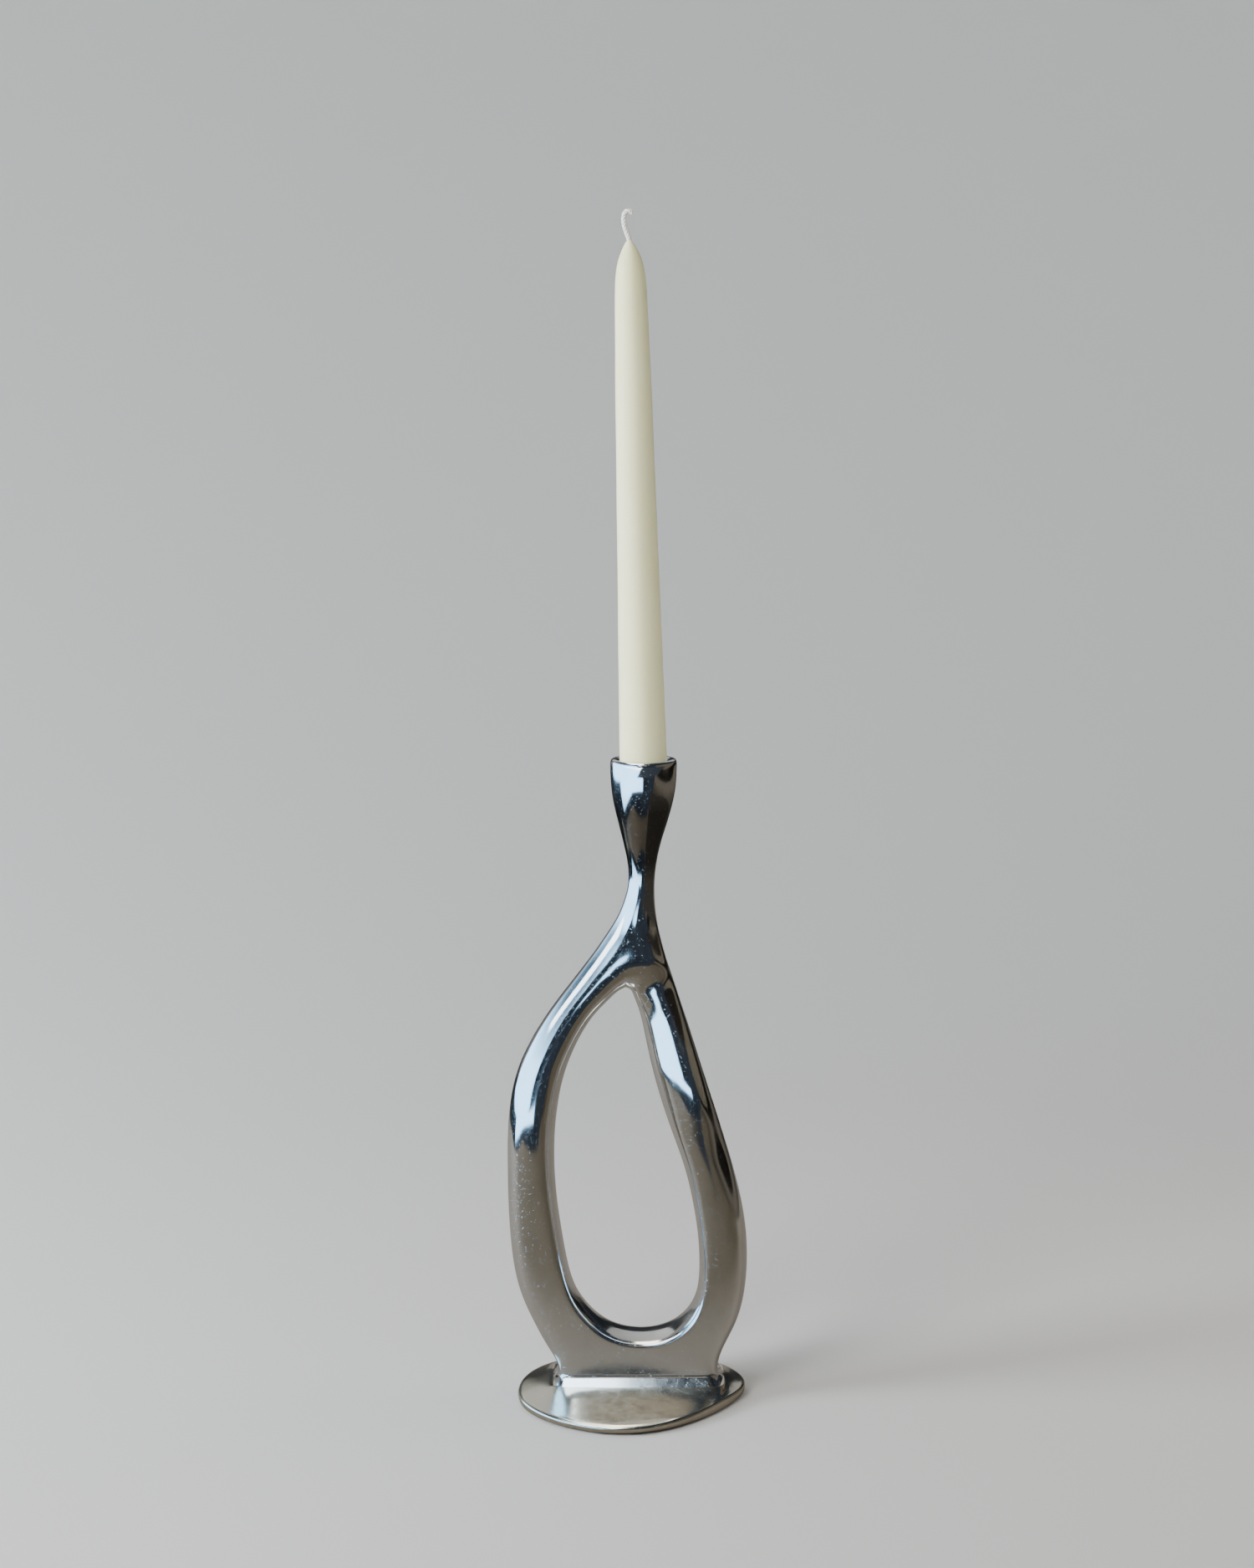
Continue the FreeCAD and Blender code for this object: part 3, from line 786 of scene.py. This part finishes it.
def zinc_steel():
    """Bright zinc plating, a little cloudy."""
    material, tree, shader = new_material("zinc_plated_steel")
    shader.inputs["Metallic"].default_value = 1.0
    clouds = stretched_noise(tree, (1.0, 1.0, 1.0), 900.0, detail=3.0, roughness=0.6)
    colour = mixed(tree, clouds.outputs["Fac"], (0.56, 0.57, 0.60), (0.66, 0.66, 0.64))
    tree.links.new(colour, shader.inputs["Base Color"])
    rough = ramp(tree, clouds.outputs["Fac"], 0.3, 0.7, 0.25, 0.4)
    tree.links.new(rough, shader.inputs["Roughness"])
    tree.links.new(bump(tree, clouds.outputs["Fac"], 0.2, 0.00005), shader.inputs["Normal"])
    return material


def dress(piece, material):
    """Gives a piece one material and no other."""
    piece.data.materials.clear()
    piece.data.materials.append(material)


dress(body, polished_metal("polished_aluminium", (0.80, 0.80, 0.80), 0.075))
# Painted shade and warm reflection: the foot's aluminium is darker and warmer than the body's.
dress(foot, polished_metal("polished_foot_aluminium", (0.76, 0.72, 0.63), 0.095))
dress(candle, candle_wax_material())
dress(braid, cotton())
dress(felt, felt_material())
steel = zinc_steel()
for name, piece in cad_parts.items():
    if name.startswith(("fixing_screw", "spring_washer")):
        dress(piece, steel)


# ---- stage, light and camera ---------------------------------------------------------------------
BOWL_R = 2.9              # the pale studio floor sweeps up into a round wall
BOWL_FILLET = 2.3
BOWL_H = 3.2
BOWL_COLOUR = (0.62, 0.615, 0.60)
BOWL_AROUND = 96
BOWL_TURNS = 24           # levels of its rounding
ABOVE = 0.0004            # the cards on the floor lie this far above it
PAPER_FRONT = -0.36       # what the metal mirrors of the floor is one sheet of paper, darker than the floor and with painted light
PAPER_BACK = 2.3
WINDOW_X = -1.35          # the sky's painted glow, seen only in reflections, stands upright here and lies on the floor beside it
WALL_X = 1.4
DARK = (0.0, 0.0, 0.0)
SKY = (0.36, 0.67, 1.0)
SKY_GLOW = 5.0
PALE_SKY = (0.72, 0.88, 1.0)
PALE_GLOW = 6.5


def plain(name, colour):
    """Even, matt paper or card."""
    material, _, shader = new_material(name)
    shader.inputs["Base Color"].default_value = (*colour, 1)
    shader.inputs["Roughness"].default_value = 0.9
    shader.inputs["Specular IOR Level"].default_value = 0.2
    return material


def stage_piece(name, corners, faces, colour):
    """A piece of the studio, which is no part of the object."""
    mesh = bpy.data.meshes.new(name)
    mesh.from_pydata(corners, [], faces)
    piece = bpy.data.objects.new(name, mesh)
    bpy.context.scene.collection.objects.link(piece)
    dress(piece, plain(name, colour))
    return piece


def bowl():
    """Floor, rounding and wall in one round sweep, which the mirror-bright metal doesn't see."""
    profile = [(0.15, 0.0), (0.3, 0.0), (0.45, 0.0)]
    for turn in np.linspace(0, pi / 2, BOWL_TURNS):
        profile.append((BOWL_R - BOWL_FILLET * (1 - sin(turn)), BOWL_FILLET * (1 - cos(turn))))
    profile.append((BOWL_R, BOWL_H))
    around = BOWL_AROUND
    corners = [(0, 0, 0)]
    for radius, z in profile:
        for k in range(around):
            corners.append((radius * cos(k * tau / around), radius * sin(k * tau / around), z))
    faces = [(0, 1 + k, 1 + (k + 1) % around) for k in range(around)]
    for row in range(len(profile) - 1):
        low = 1 + row * around
        high = low + around
        for k in range(around):
            n = (k + 1) % around
            faces.append((low + k, high + k, high + n, low + n))
    piece = stage_piece("floor", corners, faces, BOWL_COLOUR)
    for face in piece.data.polygons:
        face.use_smooth = True
    piece.visible_glossy = False


def only_reflected(piece):
    """Painted reflections: flags and cards stand round a subject in a studio, and here only
    reflections see them; they cast no shadow.
    """
    piece.visible_camera = False
    piece.visible_diffuse = False
    piece.visible_shadow = False
    return piece


def card(name, corners, colour):
    """One flat card, seen only in reflections: a painted reflection."""
    return only_reflected(stage_piece(name, corners, [tuple(range(len(corners)))], colour))


def arc_card(name, first, last, inner, outer, z, colour):
    """A level part of a ring round the upright axis, between two bearings from the front, seen only
    in reflections: a painted reflection.
    """
    count = 24
    corners = []
    for k in range(count + 1):
        bearing = radians(first + (last - first) * k / count)
        for reach in (inner, outer):
            corners.append((reach * sin(bearing), -reach * cos(bearing), z))
    faces = [(2 * k, 2 * k + 1, 2 * k + 3, 2 * k + 2) for k in range(count)]
    return only_reflected(stage_piece(name, corners, faces, colour))


def upright(start, end, bottom, top):
    """Corners of an upright sheet over the line between two places on the floor."""
    return [(*start, bottom), (*end, bottom), (*end, top), (*start, top)]


def level(x_low, x_high, y_low, y_high, z):
    """Corners of a level sheet."""
    return [(x_low, y_low, z), (x_high, y_low, z), (x_high, y_high, z), (x_low, y_high, z)]


def glow(piece, colour, strength):
    """Makes a card shine evenly by itself: a painted glow, which only reflections see."""
    shader = piece.data.materials[0].node_tree.nodes["Principled BSDF"]
    shader.inputs["Emission Color"].default_value = (*colour, 1)
    shader.inputs["Emission Strength"].default_value = strength


def paint_light_on_paper(piece):
    """Painted light on the paper: palest close to the foot and on the left, browner to the front,
    and a painted warm glow lifted on the far right.
    """
    tree = piece.data.materials[0].node_tree
    shader = tree.nodes["Principled BSDF"]
    near = ramp(tree, axis(tree, "Y"), -0.17, -0.03, 0.0, 0.75)
    left = ramp(tree, axis(tree, "X"), -0.30, 0.40, 0.25, 0.0)
    pale = combined(tree, "ADD", near, left)
    colour = mixed(tree, pale, (0.080, 0.063, 0.038), (0.235, 0.21, 0.178))
    tree.links.new(colour, shader.inputs["Base Color"])
    shader.inputs["Emission Color"].default_value = (1.0, 0.88, 0.70, 1)
    lifted = ramp(tree, axis(tree, "X"), 0.3, 0.9, 0.0, 0.12)
    tree.links.new(lifted, shader.inputs["Emission Strength"])


def dim_upwards(piece, low, high, low_glow, high_glow):
    """The card's painted glow is weaker above the second height than below the first."""
    tree = piece.data.materials[0].node_tree
    shader = tree.nodes["Principled BSDF"]
    dimmed = ramp(tree, axis(tree, "Z"), low, high, low_glow, high_glow)
    tree.links.new(dimmed, shader.inputs["Emission Strength"])


bowl()
paper_plan = [
    (-0.36, PAPER_FRONT), (0.12, PAPER_FRONT), (1.1, -1.3), (1.6, PAPER_BACK), (-1.2, PAPER_BACK),
]
# Painted light: the paper seen only in reflections is lit and shaded by its own colour and glow.
paint_light_on_paper(card("paper", [(x, y, ABOVE) for x, y in paper_plan], DARK))
# Painted reflections: the wall, right and cup cards below are sheets that only reflections see, the
# last two dark.
card("wall", upright((-WALL_X, PAPER_BACK), (WALL_X, PAPER_BACK), 0, 3), (0.50, 0.49, 0.46))
card("right_painted_dark_reflection", upright((1.1, -1.2), (1.6, 2.3), 0, 0.9), (0.12, 0.10, 0.07))
arc_card("cup_painted_dark_reflection", 22, 130, 0.055, 0.16, 0.23, (0.022, 0.018, 0.013))
# Painted reflections: these cards glow though they are no lamps, and only reflections see them.
glow(card("left_paper", level(WINDOW_X, -0.54, -0.8, -0.02, ABOVE), DARK), SKY, SKY_GLOW)
glow(arc_card("front_paper", -62, -3, 0.80, 2.6, ABOVE, DARK), SKY, SKY_GLOW)
window = card("window", upright((WINDOW_X, -3.4), (WINDOW_X, 1.2), 0, 1.3), DARK)
glow(window, SKY, SKY_GLOW)
dim_upwards(window, 0.50, 0.90, SKY_GLOW, SKY_GLOW * 0.06)
left_wall = card("left_wall", upright((-WALL_X, 1.2), (-WALL_X, PAPER_BACK), 0, 3), DARK)
glow(left_wall, (1.0, 0.95, 0.86), 0.28)
glow(card("skylight", level(-1.8, 0, -1.9, -0.1, 2.6), DARK), PALE_SKY, PALE_GLOW)
glow(card("strip", level(-0.30, -0.01, -0.20, -0.06, 0.3), DARK), PALE_SKY, PALE_GLOW)
card("strip_painted_dark_reflection", level(-0.01, 0.28, -0.26, -0.03, 0.3), (0.02, 0.025, 0.035))
glow(card("ceiling", level(-0.9, 0.25, 0.1, 2.1, 2.6), DARK), (1.0, 0.92, 0.74), 5.5)
glow(card("lintel", upright((-0.35, -2.2), (0.42, -2.2), 0.9, 2.3), DARK), (1.0, 0.86, 0.62), 0.33)
glow(card("jamb", upright((-0.75, -2.2), (-0.35, -2.2), 0.9, 2.3), DARK), (0.80, 0.92, 1.0), 3.5)


def area_light(name, place, target, width, height, power, colour):
    """A soft light that reflections don't see: the cards above are what they see."""
    light = bpy.data.lights.new(name, "AREA")
    light.shape = "RECTANGLE"
    light.size = width
    light.size_y = height
    light.energy = power
    light.color = colour
    lamp = bpy.data.objects.new(name, light)
    lamp.location = place
    lamp.rotation_euler = (Vector(target) - Vector(place)).to_track_quat("-Z", "Y").to_euler()
    lamp.visible_camera = False
    lamp.visible_glossy = False
    bpy.context.scene.collection.objects.link(lamp)


window_place, window_target = (-1.9, -0.3, 0.7), (-0.6, 2.2, 0.3)
area_light("window_light", window_place, window_target, 1.2, 0.9, 104.0, (0.86, 0.93, 1.0))
area_light("front", (-0.65, -0.8, 0.75), (0, 0, 0.42), 0.4, 0.6, 11.0, (1.0, 0.985, 0.96))
area_light("top", (-0.6, 0.3, 2.3), (-0.3, 0.5, 0), 1.6, 1.6, 2.0, (1.0, 0.96, 0.90))
area_light("side", (0.5, 0.1, 0.45), (0, 0, 0.02), 0.25, 0.25, 0.6, (1.0, 0.88, 0.72))
area_light("fill", (0, 0, 3.1), (0, 0, 0), 4.4, 4.4, 30.0, (1.0, 0.98, 0.95))

world = bpy.data.worlds.new("room")
bpy.context.scene.world = world
world.use_nodes = True
room = world.node_tree
clouds = node(room, "ShaderNodeTexNoise", Scale=2.2)
dim = mixed(room, clouds.outputs["Fac"], (0.010, 0.013, 0.017), (0.050, 0.064, 0.088))
room.links.new(dim, room.nodes["Background"].inputs["Color"])

CAMERA_PLACE = (-0.00771, -1.2330, 0.4897)
CAMERA_PITCH = 8.837      # degrees below level
camera_data = bpy.data.cameras.new("camera")
camera_data.lens = 61.44
camera_data.sensor_width = 36.0
camera = bpy.data.objects.new("camera", camera_data)
camera.location = CAMERA_PLACE
camera.rotation_euler = (radians(90 - CAMERA_PITCH), 0, 0)
bpy.context.scene.collection.objects.link(camera)
bpy.context.scene.camera = camera
